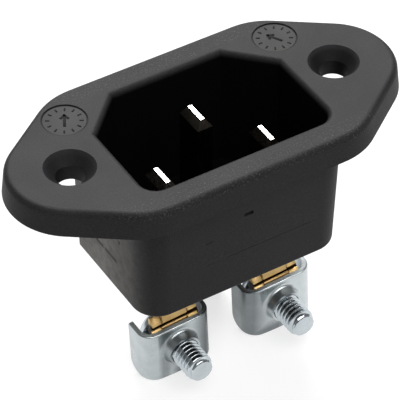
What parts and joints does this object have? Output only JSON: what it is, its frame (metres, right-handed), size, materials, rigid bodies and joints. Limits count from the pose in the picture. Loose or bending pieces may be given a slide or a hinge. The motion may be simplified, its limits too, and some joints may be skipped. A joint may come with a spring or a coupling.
{
  "type": "panel inlet socket",
  "caption": "Panel inlet socket for a mains lead: flanged moulded shroud with coded opening, blade pins and saddle-clamp screw terminals.",
  "frame": {"origin": "midway between the two mounting holes, on the rear face of the flange that seats on the panel", "axes": "+X along the two mounting holes, +Y towards the earth pin, +Z out of the connector opening"},
  "size_m": [0.0506, 0.0246, 0.0329],
  "materials": {
    "housing_plastic": "fine matt texture",
    "pin_plating": "nickel plated, satin",
    "terminal_brass": "bright stamped sheet",
    "zinc_steel": "blue zinc plated sheet",
    "screw_steel": "zinc plated, bright"
  },
  "bodies": {
    "socket": {"housing": "housing_plastic", "pin_left": "pin_plating", "pin_right": "pin_plating", "pin_earth": "pin_plating", "terminal_strip_left": "terminal_brass", "terminal_strip_right": "terminal_brass", "terminal_strip_earth": "terminal_brass"},
    "left_clamp": {"saddle_clamp_left": "zinc_steel", "wire_plate_left": "terminal_brass"},
    "left_screw": {"clamp_screw_left": "screw_steel"},
    "right_clamp": {"saddle_clamp_right": "zinc_steel", "wire_plate_right": "terminal_brass"},
    "right_screw": {"clamp_screw_right": "screw_steel"},
    "earth_clamp": {"saddle_clamp_earth": "zinc_steel", "wire_plate_earth": "terminal_brass"},
    "earth_screw": {"clamp_screw_earth": "screw_steel"}
  },
  "joints": [
    {"name": "left_screw_turn", "type": "hinge", "parent": "socket", "child": "left_screw", "pos_m": [-0.00712, -0.0069, -0.02525], "axis": [0, 1, 0], "range_deg": [0, 1800]},
    {"name": "left_clamp_slide", "type": "slide", "parent": "socket", "child": "left_clamp", "axis": [0, -1, 0], "range_m": [0, 0.003]},
    {"name": "right_screw_turn", "type": "hinge", "parent": "socket", "child": "right_screw", "pos_m": [0.00712, -0.0069, -0.02525], "axis": [0, 1, 0], "range_deg": [0, 1800]},
    {"name": "right_clamp_slide", "type": "slide", "parent": "socket", "child": "right_clamp", "axis": [0, -1, 0], "range_m": [0, 0.003]},
    {"name": "earth_screw_turn", "type": "hinge", "parent": "socket", "child": "earth_screw", "pos_m": [0, 0.0069, -0.02525], "axis": [0, -1, 0], "range_deg": [0, 1800]},
    {"name": "earth_clamp_slide", "type": "slide", "parent": "socket", "child": "earth_clamp", "axis": [0, 1, 0], "range_m": [0, 0.003]}
  ],
  "couplings": [
    {"joint": "left_screw_turn", "follows": "left_clamp_slide", "rad_per_m": 10472},
    {"joint": "right_screw_turn", "follows": "right_clamp_slide", "rad_per_m": 10472},
    {"joint": "earth_screw_turn", "follows": "earth_clamp_slide", "rad_per_m": 10472}
  ]
}
